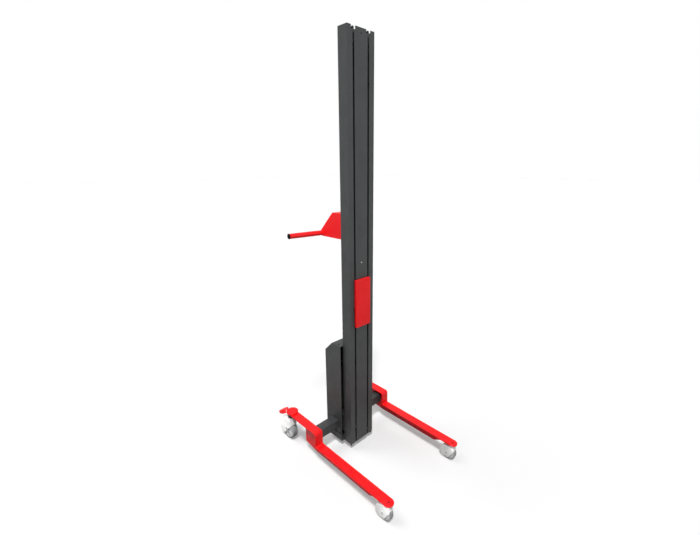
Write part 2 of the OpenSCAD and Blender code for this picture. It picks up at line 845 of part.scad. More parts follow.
module mast_bracket() {
    half_w = 70;
    half_h = 55;
    ear_in = half_w - 8;
    color(dark) difference() {
        union() {
            block([-half_w, half_w], [mast_d, mast_d + bracket_t], [tube_z - half_h, tube_z + half_h]);
            both_sides() slab_x([ear_in, half_w]) polygon([
                [mast_d, tube_z - half_h],
                [tube_y + tube_s / 2 + 8, tube_z - tube_s / 2 - 10],
                [tube_y + tube_s / 2 + 8, tube_z + tube_s / 2 + 10],
                [mast_d, tube_z + half_h]
            ]);
        }
        tube_space([-half_w - 1, half_w + 1], hole_play);
        for (p = bracket_bolts())
            translate([p[0], 0, p[1]]) rod_y(bolt_r + hole_play, [mast_d - 1, mast_d + bracket_t + 1]);
    }
}

module cross_tube() {
    inner = tube_s / 2 - tube_wall;
    color(dark) difference() {
        tube_space([-tube_half, tube_half], 0);
        block([-tube_half + tube_wall, tube_half - tube_wall], [tube_y - inner, tube_y + inner],
            [tube_z - inner, tube_z + inner]);
    }
}

// Bolt with a hexagon head that points to +Z; its shank reaches down to -grip
module hex_bolt(grip) {
    cylinder(r = bolt_head_r, h = bolt_head_t, $fn = 6);
    translate([0, 0, -grip]) cylinder(r = bolt_r, h = grip);
}

module frame_bolts() {
    color(steel) {
        for (p = bracket_bolts())
            translate([p[0], mast_d + bracket_t, p[1]]) rotate([-90, 0, 0]) hex_bolt(bracket_t + mast_wall);
        for (p = handle_bolts())
            translate([p[0], mast_d + handle_bracket_t, p[1]]) rotate([-90, 0, 0])
                hex_bolt(handle_bracket_t + mast_wall);
    }
}

// Flat bar seen from the side: low front part, upright step and high rear part
module bar_outline() {
    low_y = step_y - low_bend_r;
    high_r = high_bend_r + bar_t;
    high_y = step_y + high_r;
    translate([bar_front_y, low_under]) square([low_y - bar_front_y, bar_t]);
    translate([low_y, low_top + low_bend_r]) ring_part(low_bend_r, low_bend_r + bar_t, -90, 90);
    translate([step_y, low_top + low_bend_r]) square([bar_t, high_top - high_r - low_top - low_bend_r]);
    translate([high_y, high_top - high_r]) ring_part(high_bend_r, high_r, 90, 90);
    translate([high_y, high_under]) square([bar_rear_y - high_y, bar_t]);
}

// Upright web, welded under the bar along its middle
module web_outline() {
    rise = low_under - web_z;
    high_y = step_y + bar_t + high_bend_r;
    polygon([
        [web_front_y - rise / tan(web_front_angle), low_under],
        [web_front_y, web_z],
        [web_knee_y, web_z],
        [web_rear_y, web_z + web_rear_rise],
        [web_rear_y, high_under],
        [high_y, high_under],
        [step_y + bar_t, high_under - high_bend_r],
        [step_y + bar_t, low_top],
        [step_y - low_bend_r, low_under]
    ]);
}

// Bar outline seen from above, with round ends
module bar_plan() {
    translate([-bar_w / 2, tip_y]) square([bar_w, rear_stem_y - tip_y]);
    for (y = [tip_y, rear_stem_y]) translate([0, y]) circle(r = bar_w / 2);
}

module leg() {
    color(red) translate([leg_x, 0, 0]) difference() {
        union() {
            intersection() {
                slab_x([-bar_w / 2, bar_w / 2]) bar_outline();
                linear_extrude(high_top + 1) bar_plan();
            }
            slab_x([-web_t / 2, web_t / 2]) web_outline();
        }
        translate([0, tip_y, low_under - 1]) cylinder(r = bolt_r + hole_play, h = bar_t + 2);
        translate([0, rear_stem_y, high_under - 1]) cylinder(r = rear_stem_r + hole_play, h = bar_t + 2);
    }
}

module left_leg() {
    mirror([1, 0, 0]) leg();
}

module right_leg() {
    leg();
}

// Casters, drawn on the swivel axis with the wheel behind it

module at_caster(side, stem_y) {
    translate([side * leg_x, stem_y, 0]) children();
}

module front_caster_stems() {
    head_z = low_under - swivel_cap_front;
    color(steel) both_sides() at_caster(1, tip_y) {
        translate([0, 0, low_under]) cylinder(r = bolt_r, h = bar_t - 2);
        translate([0, 0, head_z - 2 * front_stem_r]) cylinder(r = front_stem_r, h = low_under - head_z + 2 * front_stem_r);
        translate([0, 0, head_z]) cylinder(r = 16, h = swivel_cap_front);
    }
}

module rear_caster_stems() {
    head_z = high_under - swivel_cap_rear;
    color(black) both_sides() at_caster(1, rear_stem_y) {
        translate([0, 0, high_top]) cylinder(r = rear_stem_r + 4, h = 5, $fn = 6);
        translate([0, 0, head_z - 4 * rear_stem_r]) cylinder(r = rear_stem_r, h = high_top - head_z + 4 * rear_stem_r);
        translate([0, 0, head_z]) cylinder(r1 = bar_w / 2 - 1, r2 = bar_w / 2 + 1, h = swivel_cap_rear);
    }
}

module rear_arm_caps() {
    edge = 2;
    color(red) both_sides() at_caster(1, rear_stem_y) translate([0, 0, high_top]) difference() {
        union() {
            cylinder(r = cap_r, h = cap_h - edge);
            translate([0, 0, cap_h - edge]) cylinder(r1 = cap_r, r2 = cap_r - edge, h = edge);
        }
        translate([0, 0, -1]) cylinder(r = rear_stem_r + 6, h = 7);
    }
}

// Solid wheel shape along X with rounded edges
module rounded_wheel(r, half_w, edge) {
    rotate([0, 90, 0]) rotate_extrude() {
        translate([0, -half_w]) square([r - edge, 2 * half_w]);
        translate([0, edge - half_w]) square([r, 2 * (half_w - edge)]);
        for (x = [edge - half_w, half_w - edge]) translate([r - edge, x]) intersection() {
            circle(r = edge);
            translate([-edge, -edge]) square([2 * edge, 2 * edge]);
        }
    }
}

// Everything above and behind a plane that falls to the rear below the axle
module above_edge(angle, drop) {
    big = 400;
    rotate([-angle, 0, 0]) translate([-big / 2, -big / 2, -drop]) cube(big);
}

// Shell over the wheel with open front; crown is the angle at which its roof starts
module hood(wheel_d, wheel_w, trail, under, cap, head_r, stem_r, axle_r, angle, drop, crown) {
    wheel_r = wheel_d / 2;
    room_r = wheel_r + wheel_gap;
    outer_r = room_r + hood_wall;
    inner_w = wheel_w / 2 + wheel_gap;
    half_w = inner_w + hood_side;
    floor_gap = 14;
    head_top = under - cap - clear;
    head_low = wheel_r + sqrt(room_r * room_r - trail * trail) - 6;
    color(white) difference() {
        union() {
            translate([0, trail, wheel_r]) difference() {
                intersection() {
                    rounded_wheel(outer_r, half_w, hood_edge_r);
                    above_edge(angle, drop);
                    block([-half_w, half_w], [-outer_r, outer_r], [floor_gap - wheel_r, outer_r]);
                }
                rotate([-crown, 0, 0]) block([1 - inner_w, inner_w - 1], [-2 * outer_r, -8], [-2 * outer_r, -2]);
            }
            translate([0, 0, head_low]) cylinder(r = head_r, h = head_top - head_low);
            children();
        }
        translate([0, trail, wheel_r]) {
            rod_x(room_r, [-inner_w, inner_w]);
            rod_x(axle_r + fit, [-half_w - 1, half_w + 1]);
        }
        translate([0, 0, head_low]) cylinder(r = stem_r + fit, h = under);
    }
}

module front_hood() {
    hood(front_wheel_d, front_wheel_w, front_trail, low_under, swivel_cap_front, 15, front_stem_r,
        front_axle_r, front_edge_angle, front_edge_drop, front_crown_angle);
}

// Ears and pin that carry the brake pedal
module pedal_ears() {
    low = rear_wheel_d * 0.9;
    both_sides() block([pedal_half + clear, pedal_half + clear + ear_t],
        [pedal_pivot_y - pedal_half, pedal_pivot_y + pedal_half], [low, pedal_pivot_z + pedal_half]);
    translate([0, pedal_pivot_y, pedal_pivot_z]) rod_x(pedal_pin_r, [-pedal_half - ear_t, pedal_half + ear_t]);
}

module rear_hood() {
    hood(rear_wheel_d, rear_wheel_w, rear_trail, high_under, swivel_cap_rear, 20, rear_stem_r,
        rear_axle_r, rear_edge_angle, rear_edge_drop, rear_crown_angle) pedal_ears();
}

module tyre(wheel_d, wheel_w) {
    inner = wheel_d / 2 * core_share;
    translate([0, 0, wheel_d / 2]) difference() {
        rounded_wheel(wheel_d / 2, wheel_w / 2, wheel_w * 0.2);
        rod_x(inner, [-wheel_w, wheel_w]);
    }
}

// Wheel body with a hub and a shallow dish on each face
module core(wheel_d, wheel_w, axle_r) {
    outer = wheel_d / 2 * core_share - fit;
    half_w = wheel_w / 2 - 0.5;
    hub_r = axle_r + 6;
    dish = 4;
    translate([0, 0, wheel_d / 2]) difference() {
        rod_x(outer, [-half_w, half_w]);
        rod_x(axle_r + fit, [-wheel_w, wheel_w]);
        both_sides() difference() {
            rod_x(outer - 5, [half_w - dish, half_w + 1]);
            rod_x(hub_r, [half_w - dish - 1, half_w + 2]);
            for (a = [0:72:359]) rotate([a, 0, 0])
                block([half_w - dish - 1, half_w + 2], [0, outer], [-2.5, 2.5]);
        }
    }
}

module axle(wheel_d, wheel_w, axle_r) {
    half_w = wheel_w / 2 + wheel_gap + hood_side;
    color(steel) translate([0, 0, wheel_d / 2]) {
        rod_x(axle_r, [-half_w, half_w]);
        both_sides() rod_x(axle_r + 2.5, [half_w, half_w + axle_head_t]);
    }
}

// Foot-operated brake pedal of a rear caster: a neck with a wide tread that ends in a lip
module pedal() {
    top = 6;
    sheet = 5;
    corner = 6;
    length = (pedal_reach - pedal_pivot_y - top * sin(pedal_slope)) / cos(pedal_slope);
    color(red) translate([0, pedal_pivot_y, pedal_pivot_z]) rotate([-pedal_slope, 0, 0]) difference() {
        union() {
            rod_x(pedal_boss_r, [-pedal_half, pedal_half]);
            translate([0, 0, top - sheet]) linear_extrude(sheet) {
                translate([-pedal_half, 0]) square([2 * pedal_half, length - pedal_tread + 1]);
                translate([-pedal_w / 2, length - pedal_tread]) square([pedal_w, pedal_tread - corner]);
                translate([corner - pedal_w / 2, length - corner - 1]) square([pedal_w - 2 * corner, corner + 1]);
                for (x = [corner - pedal_w / 2, pedal_w / 2 - corner])
                    translate([x, length - corner]) circle(r = corner);
            }
            translate([corner - pedal_w / 2, length - sheet, top - pedal_lip])
                cube([pedal_w - 2 * corner, sheet, pedal_lip - 1]);
        }
        rod_x(pedal_pin_r + fit, [-pedal_half - 1, pedal_half + 1]);
    }
}

// Handle

// Places, in X and Z, of the bolts between the handle bracket and the mast
function handle_bolts() = [
    for (x = [-40, 40], z = [30, handle_bracket_h - 25]) [x, handle_low_z + z]
];

module handle_cheek_outline() {
    top_z = handle_low_z + handle_bracket_h;
    rear_r = handle_r + handle_boss;
    rear_angle = 41;
    polygon([
        [mast_d, handle_low_z],
        [handle_y, handle_low_z],
        [handle_y + rear_r * cos(rear_angle), handle_z + rear_r * sin(rear_angle)],
        [mast_d + handle_top_d, top_z],
        [mast_d, top_z]
    ]);
    translate([handle_y, handle_z]) circle(r = rear_r);
}

// Two cheeks round the bar, joined by a top plate and by a flange on the mast
module handle_bracket() {
    top_z = handle_low_z + handle_bracket_h;
    flange_y = mast_d + handle_bracket_t;
    color(red) difference() {
        union() {
            both_sides() slab_x([handle_half - handle_bracket_t, handle_half]) handle_cheek_outline();
            block([-handle_half, handle_half], [mast_d, mast_d + handle_top_d], [top_z - handle_bracket_t, top_z]);
            block([-handle_half, handle_half], [mast_d, flange_y], [handle_low_z, top_z]);
        }
        translate([0, handle_y, handle_z]) rod_x(handle_r + fit, [-handle_half - 1, handle_half + 1]);
        for (p = handle_bolts())
            translate([p[0], 0, p[1]]) rod_y(bolt_r + hole_play, [mast_d - 1, flange_y + 1]);
    }
}

// Moves to where the right grip starts and turns to its sweep
module at_grip() {
    translate([handle_bend_x, 0, 0]) rotate(handle_sweep) children();
}

// Straight middle with a swept length at each side
module swept_bar(r, grip_l) {
    rod_x(r, [-handle_bend_x, handle_bend_x]);
    both_sides() at_grip() {
        sphere(r = r);
        rod_x(r, [0, grip_l]);
    }
}

module handlebar() {
    grip_l = handle_grip_l - handle_cap_t;
    color(red) translate([0, handle_y, handle_z]) difference() {
        swept_bar(handle_r, grip_l);
        swept_bar(handle_r - handle_wall, grip_l + 1);
    }
}

module handle_end_caps() {
    plug_end = handle_grip_l - handle_cap_t;
    color(black) translate([0, handle_y, handle_z]) both_sides() at_grip() {
        rod_x(handle_r, [plug_end, handle_grip_l]);
        rod_x(handle_r - handle_wall - fit, [plug_end - handle_plug_l, plug_end]);
    }
}

// Placed casters

module front_left_hood() at_caster(-1, tip_y) front_hood();
module front_right_hood() at_caster(1, tip_y) front_hood();
module rear_left_hood() at_caster(-1, rear_stem_y) rear_hood();
module rear_right_hood() at_caster(1, rear_stem_y) rear_hood();

module front_tyre(side) color(tread_grey) at_caster(side, tip_y + front_trail) tyre(front_wheel_d, front_wheel_w);
module rear_tyre(side) color(tread_grey) at_caster(side, rear_stem_y + rear_trail) tyre(rear_wheel_d, rear_wheel_w);

module front_core(side) color(wheel_grey) at_caster(side, tip_y + front_trail)
    core(front_wheel_d, front_wheel_w, front_axle_r);
module rear_core(side) color(wheel_grey) at_caster(side, rear_stem_y + rear_trail)
    core(rear_wheel_d, rear_wheel_w, rear_axle_r);

module front_axle(side) at_caster(side, tip_y + front_trail) axle(front_wheel_d, front_wheel_w, front_axle_r);
module rear_axle(side) at_caster(side, rear_stem_y + rear_trail) axle(rear_wheel_d, rear_wheel_w, rear_axle_r);

on_centre() mast_profile();
on_centre() front_cover();
on_centre() panel_screws();
on_centre() foot_plate();
on_centre() top_bracket();
on_centre() lower_bearings();
on_centre() lift_belt();
on_centre() drive_housing();
on_centre() winch_frame();
on_centre() tube_collars();
on_centre() mast_bracket();
on_centre() frame_bolts();
on_centre() cross_tube();
on_centre() left_leg();
on_centre() right_leg();
on_centre() handle_bracket();
on_centre() handlebar();
on_centre() handle_end_caps();
on_centre() front_caster_stems();
on_centre() rear_caster_stems();
on_centre() rear_arm_caps();
on_centre() inner_carriage();
on_centre() carriage_arms();
on_centre() carriage_plate();
on_centre() carriage_screws();
on_centre() belt_clamp();
on_centre() roller_axles();
on_centre() glide_pads();
on_centre() upper_rollers();
on_centre() lower_rollers();
on_centre() top_pulley();
on_centre() top_shaft();
on_centre() lower_pulley();
on_centre() lower_shaft();
on_centre() upper_idler();
on_centre() lower_idler();
on_centre() crank_shaft();
on_centre() drive_pulley();
on_centre() ratchet_wheel();
on_centre() crank_arm();
on_centre() crank_grip();
on_centre() ratchet_pawl();
on_centre() front_left_hood();
on_centre() front_right_hood();
on_centre() rear_left_hood();
on_centre() rear_right_hood();
on_centre() front_tyre(-1);  // front_left_tyre
on_centre() front_tyre(1);  // front_right_tyre
on_centre() rear_tyre(-1);  // rear_left_tyre
on_centre() rear_tyre(1);  // rear_right_tyre
on_centre() front_core(-1);  // front_left_core
on_centre() front_core(1);  // front_right_core
on_centre() rear_core(-1);  // rear_left_core
on_centre() rear_core(1);  // rear_right_core
on_centre() front_axle(-1);  // front_left_axle
on_centre() front_axle(1);  // front_right_axle
on_centre() rear_axle(-1);  // rear_left_axle
on_centre() rear_axle(1);  // rear_right_axle
on_centre() at_caster(-1, rear_stem_y) pedal();  // left_pedal
on_centre() at_caster(1, rear_stem_y) pedal();  // right_pedal
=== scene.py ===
# Looks, floor, light and camera for the manual lift trolley.
import json
import math

import bmesh
import bpy
from mathutils import Matrix, Vector


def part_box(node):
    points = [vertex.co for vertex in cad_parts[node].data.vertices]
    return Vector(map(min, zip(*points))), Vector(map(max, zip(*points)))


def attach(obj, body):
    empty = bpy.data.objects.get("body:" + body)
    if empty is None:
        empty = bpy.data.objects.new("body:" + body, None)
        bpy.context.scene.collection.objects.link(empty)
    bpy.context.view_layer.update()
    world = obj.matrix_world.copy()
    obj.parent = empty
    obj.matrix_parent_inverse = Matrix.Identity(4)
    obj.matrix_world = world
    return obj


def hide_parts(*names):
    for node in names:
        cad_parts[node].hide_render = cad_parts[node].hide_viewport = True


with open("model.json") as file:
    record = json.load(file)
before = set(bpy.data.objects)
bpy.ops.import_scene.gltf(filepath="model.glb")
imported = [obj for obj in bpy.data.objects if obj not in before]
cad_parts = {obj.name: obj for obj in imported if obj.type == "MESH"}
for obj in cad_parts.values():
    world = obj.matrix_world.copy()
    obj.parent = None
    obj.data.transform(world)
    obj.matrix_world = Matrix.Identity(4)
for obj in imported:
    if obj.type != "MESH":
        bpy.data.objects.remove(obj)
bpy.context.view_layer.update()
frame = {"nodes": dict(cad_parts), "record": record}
nodes = frame["nodes"]

MM = 0.001
SIDES = (-1, 1)


def seen(red, green, blue):
    """Blender's linear colour for one that shows as the given red, green and blue, each up to 255."""
    def linear(value):
        value /= 255
        return value / 12.92 if value <= 0.04045 else ((value + 0.055) / 1.055) ** 2.4
    return (linear(red), linear(green), linear(blue), 1)


# Building blocks for node trees

class Net:
    """Adds nodes to one node tree and joins them."""

    def __init__(self, tree):
        self.tree = tree

    def feed(self, socket, value):
        """Links a node's output to a socket, or sets the socket to a plain value."""
        if isinstance(value, bpy.types.NodeSocket):
            self.tree.links.new(value, socket)
        else:
            socket.default_value = value

    def add(self, kind, values=None, **settings):
        node = self.tree.nodes.new(kind)
        for name, value in settings.items():
            setattr(node, name, value)
        for name, value in (values or {}).items():
            self.feed(node.inputs[name], value)
        return node

    def math(self, operation, first, second=0.0):
        return self.add("ShaderNodeMath", {0: first, 1: second}, operation=operation).outputs[0]

    def band(self, value, low, high, to_low=0.0, to_high=1.0):
        """Spreads what lies between low and high over another range, and holds what lies beyond."""
        limits = {"Value": value, "From Min": low, "From Max": high, "To Min": to_low, "To Max": to_high}
        return self.add("ShaderNodeMapRange", limits).outputs["Result"]

    def mix(self, factor, first, second):
        """Colour between two others. Sockets 6 and 7 are the two colours, whose labels aren't unique."""
        return self.add("ShaderNodeMix", {0: factor, 6: first, 7: second}, data_type="RGBA").outputs[2]

    def noise(self, where, scale, detail=3.0, roughness=0.5):
        values = {"Vector": where, "Scale": scale, "Detail": detail, "Roughness": roughness}
        return self.add("ShaderNodeTexNoise", values).outputs["Fac"]

    def chance(self, low, high, seed):
        """Random number for each point. Sockets 2 and 3 are its limits, whose labels aren't unique."""
        values = {2: low, 3: high, "Seed": seed}
        return self.add("FunctionNodeRandomValue", values, data_type="FLOAT").outputs[1]


def label_of(keyword):
    """Socket label that a keyword stands for: Bead Radius for bead_radius."""
    return keyword.replace("_", " ").title()


def tree_ends(tree):
    net = Net(tree)
    return net, net.add("NodeGroupInput").outputs, net.add("NodeGroupOutput").inputs


# Shader node groups for wear and skin, whose noise scales are in waves per metre

def new_group(name, inputs, outputs):
    """Starts a shader node group from its inputs' labels and usual values and its outputs' labels."""
    tree = bpy.data.node_groups.new(name, "ShaderNodeTree")
    for label, value in inputs.items():
        socket = tree.interface.new_socket(label, in_out="INPUT", socket_type="NodeSocketFloat")
        socket.default_value = value
    for label in outputs:
        tree.interface.new_socket(label, in_out="OUTPUT", socket_type="NodeSocketFloat")
    return tree_ends(tree)


def powder_skin_group():
    """Powder coat or moulding: a fine pebbled skin and slow changes of tone."""
    net, given, out = new_group("powder_skin", {"Grain": 900.0, "Mottle": 14.0}, ("Height", "Tone"))
    wave_share = 0.22
    where = net.add("ShaderNodeTexCoord").outputs["Object"]
    pebbles = net.noise(where, given["Grain"], 2.0)
    waves = net.noise(where, net.math("MULTIPLY", given["Grain"], wave_share), 1.0)
    net.feed(out["Height"], net.math("ADD", pebbles, waves))
    net.feed(out["Tone"], net.noise(where, given["Mottle"], 4.0, 0.6))
    return net.tree


def scratches(net, where, scale):
    """Thin slanted lines, in scattered areas as handling leaves them."""
    handled_scale = 7.0
    line_w = 0.006
    slant = {"Vector": where, "Scale": (1.0, 1.0, 0.12), "Rotation": (0.5, 0.3, 0.2)}
    lines = net.noise(net.add("ShaderNodeMapping", slant).outputs[0], scale, 6.0, 0.7)
    off_middle = net.math("ABSOLUTE", net.math("SUBTRACT", lines, 0.5))
    thin = net.band(off_middle, 0.0, line_w, 1.0, 0.0)
    handled = net.band(net.noise(where, handled_scale), 0.55, 0.68)
    return net.math("MULTIPLY", thin, handled)


def dust(net, where, height):
    """Specks that are densest at the floor and end at a height."""
    speck_scale = 45.0
    above_floor = net.add("ShaderNodeSeparateXYZ", {0: where}).outputs["Z"]
    low = net.band(above_floor, 0.0, height, 1.0, 0.0)
    specks = net.band(net.noise(where, speck_scale, 6.0, 0.7), 0.45, 0.75)
    return net.math("MULTIPLY", low, specks)


def handling_marks_group():
    """Handling marks: thin scratches, dull patches, and dust that thins out above the floor."""
    inputs = {"Scratch Scale": 60.0, "Dust Height": 0.25}
    net, given, out = new_group("handling_marks", inputs, ("Scratches", "Patches", "Dust"))
    patch_scale = 11.0
    where = net.add("ShaderNodeTexCoord").outputs["Object"]
    net.feed(out["Scratches"], scratches(net, where, given["Scratch Scale"]))
    net.feed(out["Patches"], net.band(net.noise(where, patch_scale, 5.0, 0.65), 0.42, 0.7))
    net.feed(out["Dust"], dust(net, where, given["Dust Height"]))
    return net.tree


def metal_grain_group():
    """Turned or drawn metal: fine lines round and along the piece, and cloudy plating."""
    net, given, out = new_group("metal_grain", {"Lines": 1400.0}, ("Height", "Cloud"))
    cloud_scale = 90.0
    where = net.add("ShaderNodeTexCoord").outputs["Object"]
    drawn = net.add("ShaderNodeMapping", {"Vector": where, "Scale": (1.0, 0.05, 0.05)}).outputs[0]
    net.feed(out["Height"], net.noise(drawn, given["Lines"], 3.0, 0.6))
    net.feed(out["Cloud"], net.noise(where, cloud_scale, 5.0, 0.6))
    return net.tree


powder_skin = powder_skin_group()
handling_marks = handling_marks_group()
metal_grain = metal_grain_group()


# Materials

PAINT_DUST = seen(150, 146, 140)
PLASTIC_DUST = seen(140, 136, 130)


def new_material(name):
    material = bpy.data.materials.new(name)
    material.use_nodes = True
    return material, Net(material.node_tree), material.node_tree.nodes["Principled BSDF"]


def use_group(net, group, **values):
    node = net.add("ShaderNodeGroup", node_tree=group)
    for keyword, value in values.items():
        node.inputs[label_of(keyword)].default_value = value
    return node.outputs


def bump(net, shader, height, strength, depth_mm):
    values = {"Height": height, "Strength": strength, "Distance": depth_mm * MM}
    net.feed(shader.inputs["Normal"], net.add("ShaderNodeBump", values).outputs["Normal"])


def mottled(net, skin, colour, other):
    """Two close colours that change over into each other in slow waves."""
    return net.mix(net.band(skin["Tone"], 0.35, 0.65), colour, other)


def dusted(net, marks, share, colour, dust_colour):
    return net.mix(net.math("MULTIPLY", marks["Dust"], share), colour, dust_colour)


def patchy(net, marks, roughness, duller):
    """Roughness that rises in the dull patches."""
    return net.band(marks["Patches"], 0.0, 1.0, roughness, roughness + duller)


def powder_paint(name, colour, deep, worn, roughness, grain, bump_mm, dusty=0.25, gloss=0.5):
    """Powder coat in one colour, with darker mottling, dull patches, scratches and dust."""
    material, net, shader = new_material(name)
    scratch_shows = 0.5
    dust_dulls = 0.2
    skin = use_group(net, powder_skin, grain=grain)
    marks = use_group(net, handling_marks)
    toned = mottled(net, skin, colour, deep)
    scratched = net.mix(net.math("MULTIPLY", marks["Scratches"], scratch_shows), toned, worn)
    net.feed(shader.inputs["Base Color"], dusted(net, marks, dusty, scratched, PAINT_DUST))
    dulled = net.math("MULTIPLY", marks["Dust"], dust_dulls)
    net.feed(shader.inputs["Roughness"], net.math("ADD", patchy(net, marks, roughness, 0.12), dulled))
    shader.inputs["Specular IOR Level"].default_value = gloss
    bump(net, shader, skin["Height"], 0.35, bump_mm)
    return material


def plated_steel(name, colour, cloudy, roughness):
    """Zinc-plated or blackened steel."""
    material, net, shader = new_material(name)
    grain = use_group(net, metal_grain)
    marks = use_group(net, handling_marks)
    net.feed(shader.inputs["Base Color"], net.mix(net.band(grain["Cloud"], 0.3, 0.7), colour, cloudy))
    net.feed(shader.inputs["Roughness"], patchy(net, marks, roughness, 0.18))
    shader.inputs["Metallic"].default_value = 1.0
    bump(net, shader, grain["Height"], 0.2, 0.05)
    return material


def moulded(name, colour, shade, roughness, grain, bump_mm, dusty=0.3, gloss=0.5):
    """Moulded plastic or rubber with a fine skin."""
    material, net, shader = new_material(name)
    skin = use_group(net, powder_skin, grain=grain, mottle=22.0)
    marks = use_group(net, handling_marks, dust_height=0.12)
    toned = mottled(net, skin, colour, shade)
    net.feed(shader.inputs["Base Color"], dusted(net, marks, dusty, toned, PLASTIC_DUST))
    net.feed(shader.inputs["Roughness"], patchy(net, marks, roughness, 0.15))
    shader.inputs["Specular IOR Level"].default_value = gloss
    bump(net, shader, skin["Height"], 0.25, bump_mm)
    return material


def toothed_belt(name):
    """Black belt whose teeth show as bands across its run, 5 mm apart."""
    material, net, shader = new_material(name)
    band_scale = 62.8
    fibre_scale = 500.0
    where = net.add("ShaderNodeTexCoord").outputs["Object"]
    teeth = net.add("ShaderNodeTexWave", {"Vector": where, "Scale": band_scale, "Distortion": 0.0},
                    wave_type="BANDS", bands_direction="Z").outputs["Fac"]
    fibres = net.noise(where, fibre_scale)
    net.feed(shader.inputs["Base Color"], net.mix(fibres, seen(20, 20, 21), seen(38, 38, 40)))
    net.feed(shader.inputs["Roughness"], net.band(fibres, 0.3, 0.7, 0.55, 0.75))
    bump(net, shader, teeth, 0.6, 1.0)
    return material


looks = {
    "dark_paint": powder_paint("dark_paint", seen(47, 49, 50), seen(40, 42, 43), seen(108, 110, 112),
                               roughness=0.5, grain=1500.0, bump_mm=0.12),
    "red_paint": powder_paint("red_paint", seen(251, 12, 22), seen(245, 8, 16), seen(248, 120, 112),
                              roughness=0.42, grain=700.0, bump_mm=0.08, dusty=0.1, gloss=0.35),
    "zinc_steel": plated_steel("zinc_steel", seen(200, 202, 205), seen(176, 177, 178), roughness=0.28),
    "black_steel": plated_steel("black_steel", seen(44, 44, 46), seen(34, 34, 36), roughness=0.4),
    "black_plastic": moulded("black_plastic", seen(18, 18, 19), seen(24, 24, 25),
                             roughness=0.5, grain=1300.0, bump_mm=0.08, dusty=0.2, gloss=0.2),
    "cap_rubber": moulded("cap_rubber", seen(11, 11, 11), seen(16, 16, 16),
                          roughness=0.7, grain=1300.0, bump_mm=0.08, dusty=0.1, gloss=0.06),
    "white_plastic": moulded("white_plastic", seen(255, 255, 253), seen(250, 250, 248),
                             roughness=0.32, grain=800.0, bump_mm=0.03, dusty=0.08),
    "wheel_plastic": moulded("wheel_plastic", seen(205, 206, 207), seen(194, 195, 196),
                             roughness=0.45, grain=1000.0, bump_mm=0.05),
    "grey_tyre": moulded("grey_tyre", seen(166, 167, 168), seen(150, 151, 152),
                         roughness=0.62, grain=1500.0, bump_mm=0.12),
    "belt_rubber": toothed_belt("belt_rubber"),
}

slot_of = {part["node"]: part["material_slot"] for part in frame["record"]["subparts"]}
body_of = {node: body for body, held in frame["record"]["behaviour"]["bodies"].items() for node in held}

# Nodes that look unlike the rest of their slot: stems of blackened steel, whose dark tone also stands in as
# painted shade for the recess at each stem's top, and end caps of dull soft rubber
look_of = dict(slot_of, front_caster_stems="black_steel", handle_end_caps="cap_rubber")

for name, look in look_of.items():
    for slot in nodes[name].material_slots:
        slot.material = looks[look]


# Meshes and pieces

def link(data, name):
    """New object in the scene for a mesh, lamp or camera."""
    holder = bpy.data.objects.new(name, data)
    bpy.context.collection.objects.link(holder)
    return holder


def smoothed(mesh, crease):
    """Shades a mesh smooth, except at edges that turn by more than the crease in degrees."""
    mesh.shade_smooth()
    mesh.set_sharp_from_angle(angle=math.radians(crease))


def bake_mesh(piece):
    """Turns a piece with modifiers into a plain mesh."""
    settled = piece.evaluated_get(bpy.context.evaluated_depsgraph_get())
    mesh = bpy.data.meshes.new_from_object(settled)
    piece.modifiers.clear()
    piece.data = mesh


def seat(piece, body, slot_name, *replaced):
    if not piece.data.materials:
        piece.data.materials.append(looks[slot_name])
    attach(piece, body)
    if replaced:
        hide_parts(*replaced)


def merged_copy(node_name):
    """Copy of a CAD node's mesh without doubled points and without lines across flat faces."""
    mesh = nodes[node_name].data.copy()
    shell = bmesh.new()
    shell.from_mesh(mesh)
    bmesh.ops.remove_doubles(shell, verts=shell.verts, dist=1e-6)
    bmesh.ops.dissolve_limit(shell, angle_limit=math.radians(0.5), verts=shell.verts, edges=shell.edges)
    shell.to_mesh(mesh)
    shell.free()
    return mesh


def make_eased(node_name, width):
    """Copy of a CAD node whose sharp edges are rounded, as on bent sheet, cut bar and mouldings."""
    crease = 32
    mesh = merged_copy(node_name)
    smoothed(mesh, crease)
    mesh.materials.clear()
    mesh.materials.append(looks[look_of[node_name]])
    piece = link(mesh, node_name + "_eased")
    edge = piece.modifiers.new("edge", "BEVEL")
    edge.width = width
    edge.segments = 2
    edge.limit_method = "ANGLE"
    edge.angle_limit = math.radians(crease)
    flow = piece.modifiers.new("flow", "WEIGHTED_NORMAL")
    flow.keep_sharp = True
    bake_mesh(piece)
    seat(piece, body_of[node_name], slot_of[node_name], node_name)


def skinned(name, outlines, open_ring=False):
    """Closed solid over a row of outlines with equal numbers of points. An open ring joins its last
    outline to its first, and so leaves a hole."""
    shell = bmesh.new()
    loops = [[shell.verts.new(spot) for spot in outline] for outline in outlines]
    following = loops[1:] + loops[:1] if open_ring else loops[1:]
    for low, high in zip(loops, following):
        for i in range(len(low)):
            j = (i + 1) % len(low)
            shell.faces.new((low[i], low[j], high[j], high[i]))
    if not open_ring:
        shell.faces.new(list(reversed(loops[0])))
        shell.faces.new(loops[-1])
    mesh = bpy.data.meshes.new(name)
    bmesh.ops.recalc_face_normals(shell, faces=shell.faces)
    shell.to_mesh(mesh)
    shell.free()
    smoothed(mesh, 25)
    return mesh


def lathe(name, rings, segments=48, open_ring=False):
    """Solid round Z from rings of (radius, height); either value may be a function of the angle."""
    def value(entry, angle):
        return entry(angle) if callable(entry) else entry

    def spot(radius, height, angle):
        out = value(radius, angle)
        return (out * math.cos(angle), out * math.sin(angle), value(height, angle))
    turns = [2 * math.pi * i / segments for i in range(segments)]
    outlines = [[spot(radius, height, angle) for angle in turns] for radius, height in rings]
    return skinned(name, outlines, open_ring)


